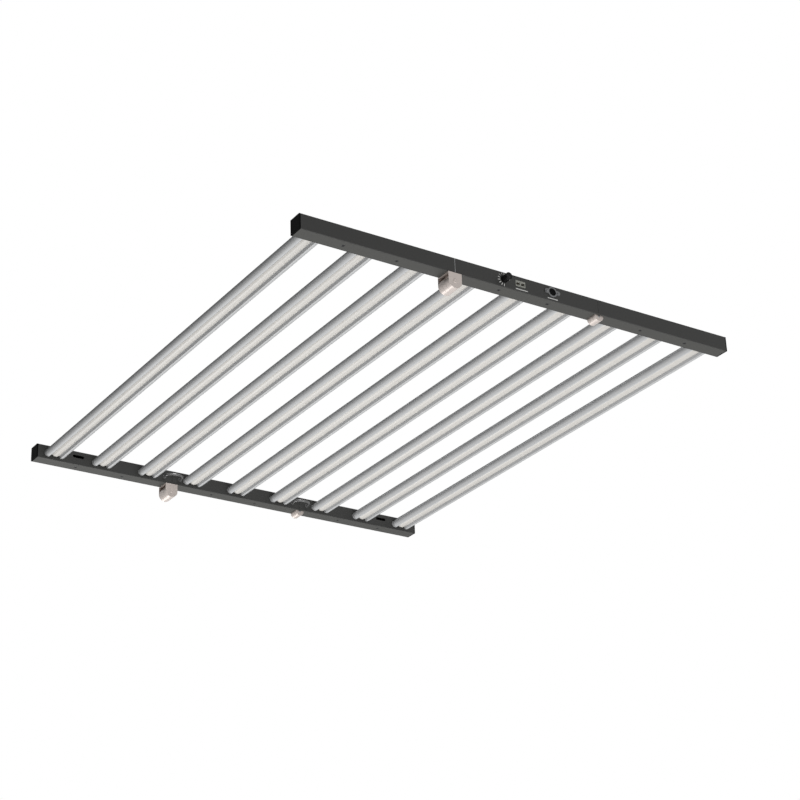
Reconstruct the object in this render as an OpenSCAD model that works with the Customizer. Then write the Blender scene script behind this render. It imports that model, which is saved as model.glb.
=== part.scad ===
// Folding bar-type grow light: nine finned light bars between two box rails, cut into three
// panels that fold under each other. X runs along the rails, Y from the control rail to the far
// rail, Z up. The origin is midway between the rails, on the plane of their tops.

/* [Bars] */
// Centre distance of neighbouring bars
bar_pitch = 125.8; // [118:0.2:140]
// Length of a bar between the two rails
bar_len = 1230; // [900:1:1300]
// Widest width of a bar housing
bar_w = 55; // [53:0.5:60]
// Height of a bar housing from its lips to its fin tips
bar_h = 23; // [21:0.5:25]
// Height of the lips above the undersides of the rails
bar_lift = 6.4; // [5:0.2:8]
// Width of the recess that holds the light strip
recess_w = 29.2; // [28.6:0.2:30]
// Depth of that recess
recess_d = 6.8; // [6.2:0.1:7.4]
// Run of the slanted side walls of that recess
recess_slant = 2.8; // [2:0.1:3]
// Width of the flat lip on each side of the recess
lip_w = 3.5; // [2.8:0.1:5]
// Height over which the flank curves out to the full width
flank_h = 11; // [9:0.25:11]
// Height of the housing's side wall
side_h = 13; // [13:0.25:15]
// Wall thickness of the housing
housing_wall = 1.8; // [1.4:0.1:1.9]
// Thickness of the housing's web over the light strip
web_t = 2.2; // [1.6:0.1:3]
// Number of cooling fins
fin_count = 7; // [5:2:7]
// Centre distance of the cooling fins
fin_pitch = 5; // [4.6:0.1:5.2]
// Thickness of a cooling fin
fin_t = 1.4; // [1:0.1:1.8]
// Clear height of the wire duct over the web
duct_h = 7; // [6:0.25:8]
// Height of the screw channels above the web
boss_up = 3.4; // [3:0.1:4]

/* [Light strips] */
// Thickness of the light board
board_t = 1.6; // [1:0.1:2]
// Gap between the board's long edges and the top of the recess
board_gap = 0.4; // [0.2:0.1:1]
// Gap between the board's ends and the rails
board_setback = 4; // [2:0.5:8]
// Width of the lens dome
lens_w = 19; // [17:0.5:19.5]
// Drop of the lens dome below the board
lens_drop = 4; // [3.6:0.1:4.6]
// Wall thickness of the lens
lens_t = 1; // [0.8:0.1:1.4]
// Width of the foot along each edge of the lens
lens_foot = 1.6; // [1:0.1:1.8]

/* [Rails] */
// Depth of a rail
rail_w = 35; // [34:0.5:40]
// Height of a rail
rail_h = 35; // [34:0.5:40]
// Wall thickness of a rail
rail_wall = 2.2; // [1.8:0.1:2.4]
// Radius of a rail's outer edges
rail_round = 1; // [0.5:0.1:1.1]
// Gap between two rail ends at a seam
seam_gap = 0.5; // [0.2:0.1:1]
// Shift of the left seam to the right of the middle of its gap
left_seam_shift = 4.7; // [0:0.1:8]
// Shift of the right seam to the left of the middle of its gap
right_seam_shift = 1.7; // [0:0.1:6]
// Thickness of a rail's bottom cover
cover_t = 2; // [1.6:0.1:2.4]
// Gap between a cover and the rail walls
cover_gap = 0.15; // [0.1:0.05:0.4]
// Thickness of an end cap's plate
cap_t = 3; // [2:0.25:5]
// Length of the plug behind an end cap
cap_plug = 8; // [5:0.5:12]
// Clearance around a plug or an inserted block
plug_gap = 0.2; // [0.1:0.05:0.4]
// Length of a hanging slot
slot_len = 30; // [24:0.5:36]
// Width of a hanging slot
slot_w = 8; // [6:0.25:9]
// Height of the hanging slots above the rails' undersides
slot_up = 21.5; // [20:0.25:23]

/* [Hinges] */
// Outer radius of the deep hinge
big_r = 16.5; // [14:0.25:17]
// Radius of the deep hinge's pin
big_pin_r = 3.5; // [3:0.1:4.5]
// Thickness of the deep hinge's cheek plates
cheek_t = 1.5; // [1:0.1:2]
// Thickness of the deep hinge's foot plates
foot_t = 2.4; // [2:0.1:2.6]
// Distance of the deep hinge's axis from its seam
left_pivot_inset = 1.5; // [1:0.1:3]
// Outer radius of the shallow hinge
small_r = 11.7; // [9:0.1:12.5]
// Radius of the shallow hinge's pin
small_pin_r = 3; // [2.5:0.1:4]
// Drop of the shallow hinge's axis below the rails
small_drop = 1.5; // [1:0.1:2.5]
// Distance of the shallow hinge's axis from its seam
right_pivot_inset = 4; // [2:0.1:6]
// Width of the shallow hinge along its pin
small_len = 26; // [20:0.5:26]
// Reach of the shallow hinge's leaves from the pin
leaf_reach = 45; // [36:1:60]
// Thickness of the shallow hinge's leaves
leaf_t = 2.5; // [2:0.1:3]
// Gap between neighbouring knuckles
knuckle_gap = 0.3; // [0.2:0.05:0.5]
// Room left around the turning knuckles
swing_gap = 0.5; // [0.3:0.05:0.8]
// Radial clearance of a hinge pin
pin_gap = 0.05; // [0.02:0.01:0.1]
// Gap between two panels when folded flat
fold_gap = 1; // [0.6:0.1:3]
// Gap between the folded right panel's ends and the deep hinge
fold_end_gap = 1; // [0.6:0.1:4]

/* [Fasteners] */
// Radius of the cover screws
cover_screw_r = 2; // [1.5:0.1:2.4]
// Head radius of the cover screws
cover_head_r = 3.6; // [3:0.1:4.2]
// Head height of the cover screws
cover_head_h = 1.2; // [0.8:0.1:1.3]
// Length of a threaded block behind a cover, along the rail
block_len = 12; // [10:0.5:20]
// Height of a threaded block
block_h = 6; // [5:0.25:6]
// Radius of the bar and hinge screws
inner_screw_r = 1.9; // [1.5:0.1:2]
// Head radius of the bar and hinge screws
inner_head_r = 3.4; // [2.8:0.1:3.6]
// Head height of the bar and hinge screws
inner_head_h = 2.4; // [1.8:0.1:2.6]
// Thread length of the bar screws in the housings
bar_grip = 12; // [8:0.5:20]
// Radial clearance of a screw in its hole
screw_gap = 0.05; // [0.02:0.01:0.1]

/* [Controls] */
// Position of the dimmer along the rail
knob_x = -60; // [-90:1:-50]
// Height of the controls above the rails' undersides
control_up = 18.2; // [17.6:0.2:19]
// Radius of the dimmer knob
knob_r = 8; // [7:0.25:10]
// Length of the dimmer knob
knob_len = 18; // [12:0.5:18]
// Gap between the knob and the rail's face
knob_gap = 0.6; // [0.4:0.1:1.5]
// Radius of the dimmer's shaft
shaft_r = 2; // [1.5:0.1:2.2]
// Radius of the dimmer's threaded bush
bush_r = 3; // [2.6:0.1:3.5]
// Radius of the dimmer's body
pot_r = 8; // [7:0.25:9]
// Thickness of the nut on the bush
nut_t = 2; // [1.5:0.1:2.5]
// Depth of the space between the rail's face and the control board
control_depth = 13; // [12:0.25:14]
// Position of the twin signal port along the rail
port_x = -18.5; // [-24:0.5:-16]
// Width of the twin signal port
port_w = 25; // [23:0.5:28]
// Height of the twin signal port
port_h = 13.4; // [12:0.2:15]
// Width of one plug opening
jack_w = 10; // [9:0.25:10.5]
// Height of one plug opening
jack_h = 8.6; // [7:0.2:9.5]
// Depth of a plug opening
jack_d = 11; // [9:0.25:11]
// Stand-out of the port's frame and of the board's edges
port_proud = 0.8; // [0.4:0.1:1.5]
// Thickness of the control board
pcb_t = 1.5; // [1:0.1:2]
// Height of the control board
pcb_h = 18; // [16:0.5:20]

/* [Power] */
// Position of the power inlet along the rail
inlet_x = 64.5; // [50:0.5:90]
// Height of the power inlet above the rails' undersides
inlet_up = 20.5; // [19.5:0.1:21]
// Radius of the round middle of the inlet flange
flange_r = 11.7; // [11:0.1:12]
// Distance of each flange screw from the inlet's centre
flange_screw_x = 14.5; // [14:0.1:18]
// Radius of the flange's ears
ear_r = 5.2; // [4.6:0.1:6]
// Thickness of the inlet flange
flange_t = 2; // [1.5:0.1:3]
// Radius of the inlet's socket insert
insert_r = 8.8; // [8:0.1:9]
// Wall thickness of the inlet's sleeve
sleeve_t = 1.7; // [1.2:0.1:1.9]
// Length of the inlet's sleeve behind the flange
sleeve_len = 11; // [8:0.5:12]
// Depth of the insert's face below the flange's face
insert_sink = 1; // [0.5:0.1:1.5]
// Radius of a contact hole
contact_r = 1.3; // [1:0.1:1.6]
// Distance of the contact holes from the insert's centre
contact_at = 4.6; // [4:0.1:5.5]
// Radius of the flange screws
flange_screw_r = 1.5; // [1.2:0.1:1.8]
// Length of the driver
driver_len = 300; // [240:5:310]
// Depth of the driver
driver_w = 22; // [18:0.5:23]
// Height of the driver
driver_h = 21; // [18:0.5:21]
// Gap between the driver and the rail's outer wall
driver_gap = 0.5; // [0.3:0.1:1]

/* [Cables] */
// Radius of the seam and rail cables
cable_r = 2.6; // [2:0.1:3]
// Distance of a grommet from its seam
grommet_at = 22; // [22:0.5:30]
// Height of the grommets above the rails' undersides
grommet_up = 15; // [15:0.25:17]
// Outer radius of a grommet's flange
grommet_r = 5; // [4.5:0.1:6]
// Thickness of a grommet's flange
grommet_flange = 1.4; // [1:0.1:2]
// Radius of a grommet's neck
grommet_neck = 3.8; // [3.6:0.1:4.2]
// Clearance of a cable in its hole
cable_gap = 0.15; // [0.1:0.05:0.3]

/* [Hidden] */
$fn = 48;
RAIL_COLOUR = "#3d3d3c";
STEEL_COLOUR = "#b5afaa";
ALLOY_COLOUR = "#a9acae";
CAP_COLOUR = "#161616";
rail_bottom = -rail_h;
rail_inner = bar_len / 2;
rail_outer = rail_inner + rail_w;
lip_z = rail_bottom + bar_lift;
web_z = recess_d + web_t;
duct_up = bar_lift + web_z + duct_h / 2;
boss_x = 2.5 * fin_pitch;
boss_r = fin_pitch / 2 + fin_t / 4;
boss_z = web_z + boss_up;
board_face = recess_d - board_t;
recess_top = recess_w / 2 - recess_slant;
big_drop = small_drop + rail_h / 2 + fold_gap / 2;
left_seam = -1.5 * bar_pitch + left_seam_shift;
right_seam = 1.5 * bar_pitch - right_seam_shift;
left_pivot = left_seam - left_pivot_inset;
right_pivot = right_seam + right_pivot_inset;
rail_end = 2 * right_pivot - left_pivot - big_r - fold_end_gap;
slot_x = 3.5 * bar_pitch;
cover_top = rail_bottom + cover_t;
cover_y = rail_outer - rail_wall - cover_gap;
cover_w = rail_w - 2 * (rail_wall + cover_gap);
rail_mid = rail_inner + rail_w / 2;
big_z = rail_bottom - big_drop;
small_z = rail_bottom - small_drop;
third = (rail_w - 2 * knuckle_gap) / 3;
small_third = (small_len - 2 * knuckle_gap) / 3;
small_y = rail_mid + small_len / 2;
notch_r = small_r + swing_gap;
leaf_screw_at = [0.55 * leaf_reach, 0.85 * leaf_reach];
foot_screw_x = 0.55 * big_r;
foot_screw_y = 0.3 * rail_w;
pot_y = rail_outer - rail_wall;
bush_out = nut_t + 1;
driver_y = rail_outer - rail_wall - driver_gap;
cable_inside = rail_inner + rail_wall + 6.5;
EPS = 0.01;

// Bars of each panel, and the panel's two ends along X
LEFT = 0;
CENTRE = 1;
RIGHT = 2;
NEAR = -1;
FAR = 1;
function bar_x(i) = (i - 5) * bar_pitch;
function panel_bars(panel) = [for (i = [1:3]) bar_x(3 * panel + i)];
function panel_start(panel) =
    panel == LEFT ? -rail_end + cap_t : (panel == CENTRE ? left_seam : right_seam) + seam_gap / 2;
function panel_stop(panel) =
    panel == RIGHT ? rail_end - cap_t : (panel == LEFT ? left_seam : right_seam) - seam_gap / 2;
function screw_spots(panel) = [for (s = [-0.5, 0.5]) bar_x(3 * panel + 2) + s * bar_pitch];

// Placing helpers
module along_x(x0, x1) {
    translate([x0, 0, 0]) rotate([90, 0, 90]) linear_extrude(x1 - x0) children();
}

module along_y(y0, y1) {
    translate([0, y1, 0]) rotate([90, 0, 0]) linear_extrude(y1 - y0) children();
}

// Draws for the far rail (+Y); NEAR mirrors it to the control rail
module on_rail(side) {
    mirror([0, side == NEAR ? 1 : 0, 0]) children();
}

module on_both_rails() {
    for (side = [NEAR, FAR]) on_rail(side) children();
}

// A round rod from y0 to y1
module rod_y(x, z, y0, y1, r) {
    translate([x, y1, z]) rotate([90, 0, 0]) cylinder(r = r, h = y1 - y0);
}

module rod_z(x, y, z0, z1, r) {
    translate([x, y, z0]) cylinder(r = r, h = z1 - z0);
}

module rounded_rect(w, h, r) {
    translate([r, 0]) square([w - 2 * r, h]);
    translate([0, r]) square([w, h - 2 * r]);
    for (x = [r, w - r], y = [r, h - r]) translate([x, y]) circle(r);
}

// Swept round cable along a list of points that never runs straight up
function unit(v) = v / norm(v);
function heading(p, i) = unit(p[min(i + 1, len(p) - 1)] - p[max(i - 1, 0)]);
module cable(points, r, sides = 10) {
    rings = [
        for (i = [0:len(points) - 1])
            let (t = heading(points, i), u = unit(cross(t, [0, 0, 1])), v = cross(u, t))
            for (k = [0:sides - 1])
                points[i] + r * (cos(360 * k / sides) * u + sin(360 * k / sides) * v)
    ];
    last = len(points) - 1;
    walls = [
        for (i = [0:last - 1], k = [0:sides - 1])
            let (a = i * sides + k, b = i * sides + (k + 1) % sides)
            each [[a, b, b + sides], [a, b + sides, a + sides]]
    ];
    start_cap = [for (k = [1:sides - 2]) [0, k + 1, k]];
    end_cap = [for (k = [1:sides - 2]) [last * sides, last * sides + k, last * sides + k + 1]];
    polyhedron(rings, concat(walls, start_cap, end_cap));
}

// Bars
function flank(steps) = [
    for (t = [0:90 / steps:90])
        [
            recess_w / 2 + lip_w + (bar_w / 2 - recess_w / 2 - lip_w) * sin(t),
            flank_h * (1 - cos(t))
        ]
];

module wing() {
    root_x = recess_w / 2 - housing_wall / 2;
    difference() {
        polygon(concat(
            [[recess_w / 2, 0]], flank(9),
            [[bar_w / 2, side_h - housing_wall], [bar_w / 2 - housing_wall, side_h]],
            [[root_x, side_h], [root_x, recess_d], [recess_top, recess_d], [recess_top, board_face - 0.2]]
        ));
        polygon([
            [recess_w / 2 + housing_wall, housing_wall],
            [recess_w / 2 + lip_w - housing_wall / 2, housing_wall],
            [bar_w / 2 - housing_wall, 0.65 * flank_h],
            [bar_w / 2 - housing_wall, side_h - 2 * housing_wall],
            [bar_w / 2 - 2 * housing_wall, side_h - housing_wall],
            [recess_w / 2 + housing_wall, side_h - housing_wall]
        ]);
    }
}

module housing_section() {
    middle = (fin_count - 1) / 2;
    duct_top = web_z + duct_h;
    difference() {
        union() {
            translate([-recess_w / 2, recess_d]) square([recess_w, web_t]);
            wing();
            mirror([1, 0]) wing();
            for (i = [0:fin_count - 1])
                translate([(i - middle) * fin_pitch - fin_t / 2, i == middle ? duct_top : recess_d])
                    square([fin_t, bar_h - (i == middle ? duct_top : recess_d)]);
            translate([-fin_pitch, duct_top]) square([2 * fin_pitch, fin_t]);
            for (s = [-1, 1]) translate([s * boss_x, boss_z]) circle(boss_r);
        }
        for (s = [-1, 1]) translate([s * boss_x, boss_z]) circle(inner_screw_r + screw_gap);
    }
}

module housing(i) {
    color(ALLOY_COLOUR)
        translate([bar_x(i), 0, lip_z]) along_y(-rail_inner, rail_inner) housing_section();
}

module led_boards(panel) {
    half = rail_inner - board_setback;
    width = 2 * (recess_top - board_gap);
    color("#e8e6dc") for (x = panel_bars(panel))
        translate([x - width / 2, -half, lip_z + board_face]) cube([width, 2 * half, board_t]);
}

module lens_section(hollow) {
    radius = (pow(lens_w / 2, 2) + pow(lens_drop, 2)) / (2 * lens_drop);
    centre_z = board_face - lens_drop + radius;
    difference() {
        intersection() {
            translate([0, centre_z]) circle(radius, $fn = 96);
            translate([-lens_w / 2, board_face - 2 * lens_drop]) square([lens_w, 2 * lens_drop]);
        }
        if (hollow) translate([0, centre_z]) circle(radius - lens_t, $fn = 96);
    }
    for (s = [-1, 1])
        translate([s * (lens_w + lens_foot) / 2 - lens_foot / 2 - lens_t / 2, board_face - lens_t])
            square([lens_foot + lens_t, lens_t]);
}

module lenses(panel) {
    half = rail_inner - board_setback;
    color("#e6e2d8") for (x = panel_bars(panel)) translate([x, 0, lip_z]) {
        along_y(-half, half) lens_section(true);
        for (y = [-half, half - lens_t]) along_y(y, y + lens_t) lens_section(false);
    }
}

// Rails
module rail_section() {
    difference() {
        translate([rail_inner, rail_bottom]) rounded_rect(rail_w, rail_h, rail_round);
        translate([rail_inner + rail_wall, rail_bottom - 1])
            square([rail_w - 2 * rail_wall, rail_h - rail_wall + 1]);
    }
}

module slot_cut(x, z) {
    y0 = rail_inner - 1;
    y1 = rail_inner + rail_wall + 1;
    straight = slot_len - slot_w;
    for (s = [-0.5, 0.5]) rod_y(x + s * straight, z, y0, y1, slot_w / 2);
    translate([x - straight / 2, y0, z - slot_w / 2]) cube([straight, y1 - y0, slot_w]);
}

function has_grommet(panel, seam) = panel == CENTRE || (panel == LEFT) == (seam == left_seam);
function grommet_spots(panel) = [
    for (seam = [left_seam, right_seam])
        if (has_grommet(panel, seam))
            seam + grommet_at * (panel == CENTRE ? -sign(seam) : sign(seam))
];

module rail_shell(panel, side) {
    y0 = rail_inner - 1;
    y1 = rail_inner + rail_wall + 1;
    difference() {
        along_x(panel_start(panel), panel_stop(panel)) rail_section();
        for (x = panel_bars(panel)) {
            for (s = [-1, 1])
                rod_y(x + s * boss_x, lip_z + boss_z, y0, y1, inner_screw_r + screw_gap);
            rod_y(x, rail_bottom + duct_up, y0, y1, cable_r + cable_gap);
        }
        if (panel != CENTRE) slot_cut(panel == LEFT ? -slot_x : slot_x, rail_bottom + slot_up);
        if (side == FAR) for (x = grommet_spots(panel))
            rod_y(x, rail_bottom + grommet_up, y0, y1, grommet_neck);
    }
}

module rail_far(panel) {
    color(RAIL_COLOUR) on_rail(FAR) rail_shell(panel, FAR);
}

module rail_near(panel) {
    color(RAIL_COLOUR) difference() {
        on_rail(NEAR) rail_shell(panel, NEAR);
        if (panel == CENTRE) control_cuts();
    }
}

// Openings in the control rail's face
module control_cuts() {
    face = -rail_outer - 1;
    back = -rail_outer + rail_wall + 1;
    sleeve_r = insert_r + sleeve_t;
    rod_y(knob_x, rail_bottom + control_up, face, back, bush_r + screw_gap);
    translate([port_x - port_w / 2 - plug_gap, face, rail_bottom + control_up - port_h / 2 - plug_gap])
        cube([port_w + 2 * plug_gap, back - face, port_h + 2 * plug_gap]);
    rod_y(inlet_x, rail_bottom + inlet_up, face, back, sleeve_r + screw_gap);
    for (s = [-1, 1])
        rod_y(inlet_x + s * flange_screw_x, rail_bottom + inlet_up, face, back, flange_screw_r + screw_gap);
}

module cover(panel) {
    start = panel_start(panel);
    stop = panel_stop(panel);
    hole_r = inner_screw_r + screw_gap;
    difference() {
        translate([start, cover_y - cover_w, rail_bottom]) cube([stop - start, cover_w, cover_t]);
        for (x = screw_spots(panel)) {
            rod_z(x, rail_mid, rail_bottom - 1, cover_top + 1, cover_screw_r + screw_gap);
            rod_z(x, rail_mid, rail_bottom - 1, rail_bottom + cover_head_h, cover_head_r + plug_gap);
        }
        for (p = foot_screws(panel)) rod_z(p[0], p[1], rail_bottom - 1, cover_top + 1, hole_r);
        for (p = leaf_screws(panel)) rod_z(p[0], p[1], cover_top - cover_t / 2, cover_top + 1, hole_r);
        if (panel != LEFT)
            translate([right_pivot - notch_r, rail_mid - small_len / 2 - swing_gap, rail_bottom - 1])
                cube([2 * notch_r, small_len + 2 * swing_gap, cover_t + 2]);
    }
}

module covers(panel) {
    color("#4a4a48") on_both_rails() cover(panel);
}

module end_caps(panel) {
    s = panel == LEFT ? -1 : 1;
    plate = [rail_end - cap_t, rail_end];
    plug = [rail_end - cap_t - cap_plug, rail_end - cap_t];
    plug_w = rail_w - 2 * (rail_wall + plug_gap);
    plug_h = rail_h - rail_wall - cover_t - 2 * plug_gap;
    color(CAP_COLOUR) mirror([s < 0 ? 1 : 0, 0, 0]) on_both_rails() {
        along_x(plate[0], plate[1])
            translate([rail_inner, rail_bottom]) rounded_rect(rail_w, rail_h, rail_round);
        along_x(plug[0], plug[1])
            translate([rail_inner + rail_wall + plug_gap, cover_top + plug_gap]) square([plug_w, plug_h]);
    }
}

// Fasteners
module cover_screws(panel) {
    color("#2c2c2c") on_both_rails() for (x = screw_spots(panel)) {
        rod_z(x, rail_mid, rail_bottom, rail_bottom + cover_head_h, cover_head_r);
        rod_z(x, rail_mid, rail_bottom, cover_top + block_h - 1, cover_screw_r);
    }
}

module cover_blocks(panel) {
    width = rail_w - 2 * (rail_wall + plug_gap);
    color(ALLOY_COLOUR) on_both_rails() for (x = screw_spots(panel)) difference() {
        translate([x - block_len / 2, rail_mid - width / 2, cover_top]) cube([block_len, width, block_h]);
        rod_z(x, rail_mid, cover_top - 1, cover_top + block_h + 1, cover_screw_r + screw_gap);
    }
}

// Screw places of the hinge feet and leaves on a panel, for the far rail
function foot_screws(panel) = panel == RIGHT ? [] : [
    for (s = [-1, 1])
        [left_pivot + (panel == LEFT ? -1 : 1) * foot_screw_x, rail_mid + s * foot_screw_y]
];
function leaf_screws(panel) = panel == LEFT ? [] : [
    for (x = leaf_screw_at) [right_pivot + (panel == RIGHT ? x : -x), rail_mid]
];

module inner_screws(panel) {
    wall = rail_inner + rail_wall;
    foot_tip = rail_bottom - foot_t;
    leaf_top = cover_top + leaf_t;
    color("#8d8f91") on_both_rails() {
        for (x = panel_bars(panel), s = [-1, 1]) {
            rod_y(x + s * boss_x, lip_z + boss_z, wall, wall + inner_head_h, inner_head_r);
            rod_y(x + s * boss_x, lip_z + boss_z, rail_inner - bar_grip, wall, inner_screw_r);
        }
        for (p = foot_screws(panel)) {
            rod_z(p[0], p[1], cover_top, cover_top + inner_head_h, inner_head_r);
            rod_z(p[0], p[1], foot_tip, cover_top, inner_screw_r);
        }
        for (p = leaf_screws(panel)) {
            rod_z(p[0], p[1], leaf_top, leaf_top + inner_head_h, inner_head_r);
            rod_z(p[0], p[1], cover_top - cover_t / 2, leaf_top, inner_screw_r);
        }
    }
}

// Deep hinge: the centre leaf has the outer two knuckles and the cheeks, the left leaf the middle one
module big_knuckle(y0, y1, neck_from, neck_to) {
    rod_y(left_pivot, big_z, y0, y1, big_r);
    translate([left_pivot + neck_from, y0, big_z]) cube([neck_to - neck_from, y1 - y0, big_drop]);
}

module big_foot(x0, x1) {
    translate([left_pivot + x0, rail_inner, rail_bottom - foot_t]) cube([x1 - x0, rail_w, foot_t]);
}

module big_holes(panel) {
    reach = rail_w + 2 * cheek_t + 2;
    rod_y(left_pivot, big_z, rail_mid - reach / 2, rail_mid + reach / 2, big_pin_r + pin_gap);
    for (p = foot_screws(panel))
        rod_z(p[0], p[1], rail_bottom - foot_t - EPS, rail_bottom + 1, inner_screw_r + screw_gap);
}

module cheek(y0) {
    rod_y(left_pivot, big_z, y0, y0 + cheek_t, big_r);
    translate([left_pivot - big_r, y0, big_z]) cube([2 * big_r, cheek_t, big_drop - knuckle_gap]);
}

module big_hinge_left_leaves() {
    y0 = rail_inner + third + knuckle_gap;
    color(STEEL_COLOUR) on_both_rails() difference() {
        union() {
            big_knuckle(y0, y0 + third, -0.4 * big_r, left_pivot_inset - seam_gap);
            big_foot(-big_r, left_pivot_inset - seam_gap);
        }
        big_holes(LEFT);
    }
}

module big_hinge_centre_leaves() {
    neck = left_pivot_inset + seam_gap;
    color(STEEL_COLOUR) on_both_rails() difference() {
        union() {
            big_knuckle(rail_inner, rail_inner + third, neck, 0.4 * big_r);
            big_knuckle(rail_outer - third, rail_outer, neck, 0.4 * big_r);
            big_foot(neck, big_r);
            cheek(rail_inner - cheek_t);
            cheek(rail_outer);
        }
        big_holes(CENTRE);
    }
}

module big_hinge_pins() {
    head = 1;
    color("#9c9893") on_both_rails() {
        y0 = rail_inner - cheek_t;
        y1 = rail_outer + cheek_t;
        rod_y(left_pivot, big_z, y0 - head, y1 + head, big_pin_r);
        rod_y(left_pivot, big_z, y0 - head, y0, big_pin_r + head);
        rod_y(left_pivot, big_z, y1, y1 + head, big_pin_r + head);
    }
}

// Shallow hinge: its barrel sits half inside the rails, its leaves lie on the covers
module small_knuckle(y0, y1, s) {
    rod_y(right_pivot, small_z, y0, y1, small_r);
    translate([right_pivot + (s > 0 ? 0 : -notch_r), y0, cover_top]) cube([notch_r, y1 - y0, leaf_t]);
}

module small_leaf(s) {
    translate([right_pivot + (s > 0 ? notch_r : -leaf_reach), small_y - small_len, cover_top])
        cube([leaf_reach - notch_r, small_len, leaf_t]);
}

module small_holes(panel) {
    rod_y(right_pivot, small_z, small_y - small_len - 1, small_y + 1, small_pin_r + pin_gap);
    for (p = leaf_screws(panel))
        rod_z(p[0], p[1], cover_top - 1, cover_top + leaf_t + 1, inner_screw_r + screw_gap);
}

module small_hinge_right_leaves() {
    y0 = small_y - small_len + small_third + knuckle_gap;
    color(STEEL_COLOUR) on_both_rails() difference() {
        union() {
            small_knuckle(y0, y0 + small_third, 1);
            small_leaf(1);
        }
        small_holes(RIGHT);
    }
}

module small_hinge_centre_leaves() {
    color(STEEL_COLOUR) on_both_rails() difference() {
        union() {
            small_knuckle(small_y - small_len, small_y - small_len + small_third, -1);
            small_knuckle(small_y - small_third, small_y, -1);
            small_leaf(-1);
        }
        small_holes(CENTRE);
    }
}

module small_hinge_pins() {
    color("#9c9893") on_both_rails()
        rod_y(right_pivot, small_z, small_y - small_len, small_y, small_pin_r);
}

// Power and control
module driver() {
    color("#7d8083")
        translate([-driver_len / 2, driver_y - driver_w, -rail_wall - driver_h])
            cube([driver_len, driver_w, driver_h]);
}

module control_board() {
    x0 = knob_x - pot_r - 2 * pcb_t;
    x1 = port_x + port_w / 2 - pcb_t;
    color("#1f5a38")
        translate([x0, -pot_y + control_depth, rail_bottom + control_up - pcb_h / 2])
            cube([x1 - x0, pcb_t, pcb_h]);
}

module potentiometer() {
    z = rail_bottom + control_up;
    color("#6f7274") difference() {
        union() {
            rod_y(knob_x, z, -pot_y, -pot_y + control_depth, pot_r);
            rod_y(knob_x, z, -rail_outer - bush_out, -pot_y + EPS, bush_r);
        }
        rod_y(knob_x, z, -rail_outer - bush_out - 1, -pot_y + control_depth / 2, shaft_r + pin_gap);
    }
}

module pot_nut() {
    z = rail_bottom + control_up;
    color(STEEL_COLOUR) difference() {
        translate([knob_x, -rail_outer, z]) rotate([90, 0, 0]) cylinder(r = 1.6 * bush_r, h = nut_t, $fn = 6);
        rod_y(knob_x, z, -rail_outer - nut_t - 1, -rail_outer + 1, bush_r + screw_gap);
    }
}

module pot_shaft() {
    color(STEEL_COLOUR)
        rod_y(knob_x, rail_bottom + control_up, -rail_outer - 0.7 * knob_len, -pot_y + control_depth / 2 - 1, shaft_r);
}

module dimmer_knob() {
    z = rail_bottom + control_up;
    back = -rail_outer - knob_gap;
    rib = 0.1 * knob_r;
    color("#191919") difference() {
        union() {
            rod_y(knob_x, z, back - knob_len, back, knob_r);
            translate([knob_x - rib, back - knob_len - rib, z]) cube([2 * rib, 2 * rib, knob_r]);
        }
        rod_y(knob_x, z, back - bush_out, back + 1, 1.6 * bush_r + knob_gap);
        rod_y(knob_x, z, -rail_outer - 0.7 * knob_len - screw_gap, back + 1, shaft_r + screw_gap / 2);
    }
}

module port_block() {
    face = -rail_outer - port_proud;
    back = -pot_y + control_depth;
    z = rail_bottom + control_up;
    color("#8c8d88") difference() {
        translate([port_x - port_w / 2, face, z - port_h / 2]) cube([port_w, back - face, port_h]);
        for (s = [-0.25, 0.25])
            translate([port_x + s * port_w - jack_w / 2, face - 1, z - jack_h / 2])
                cube([jack_w, jack_d + 1, jack_h]);
    }
}

module flange_outline() {
    circle(flange_r);
    for (s = [-1, 1]) translate([s * flange_screw_x, 0]) circle(ear_r);
    translate([-flange_screw_x, -ear_r]) square([2 * flange_screw_x, 2 * ear_r]);
}

module inlet_flange() {
    z = rail_bottom + inlet_up;
    front = -rail_outer - flange_t;
    color("#77797a") difference() {
        union() {
            translate([inlet_x, 0, z]) along_y(front, -rail_outer) flange_outline();
            rod_y(inlet_x, z, -rail_outer, -rail_outer + sleeve_len, insert_r + sleeve_t);
        }
        rod_y(inlet_x, z, front - 1, -rail_outer + sleeve_len + 1, insert_r + screw_gap);
        for (s = [-1, 1])
            rod_y(inlet_x + s * flange_screw_x, z, front - 1, -rail_outer + 1, flange_screw_r + screw_gap);
    }
}

module inlet_insert() {
    z = rail_bottom + inlet_up;
    front = -rail_outer - flange_t + insert_sink;
    color("#0d0d0d") difference() {
        rod_y(inlet_x, z, front, -rail_outer + sleeve_len, insert_r);
        for (a = [45:90:315])
            rod_y(
                inlet_x + contact_at * cos(a), z + contact_at * sin(a),
                front - 1, -rail_outer + sleeve_len / 2, contact_r
            );
    }
}

module inlet_screws() {
    z = rail_bottom + inlet_up;
    front = -rail_outer - flange_t;
    color(STEEL_COLOUR) for (s = [-1, 1]) {
        rod_y(inlet_x + s * flange_screw_x, z, front - flange_screw_r, front, 1.8 * flange_screw_r);
        rod_y(inlet_x + s * flange_screw_x, z, front, -rail_outer + 2 * rail_wall, flange_screw_r);
    }
}

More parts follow.
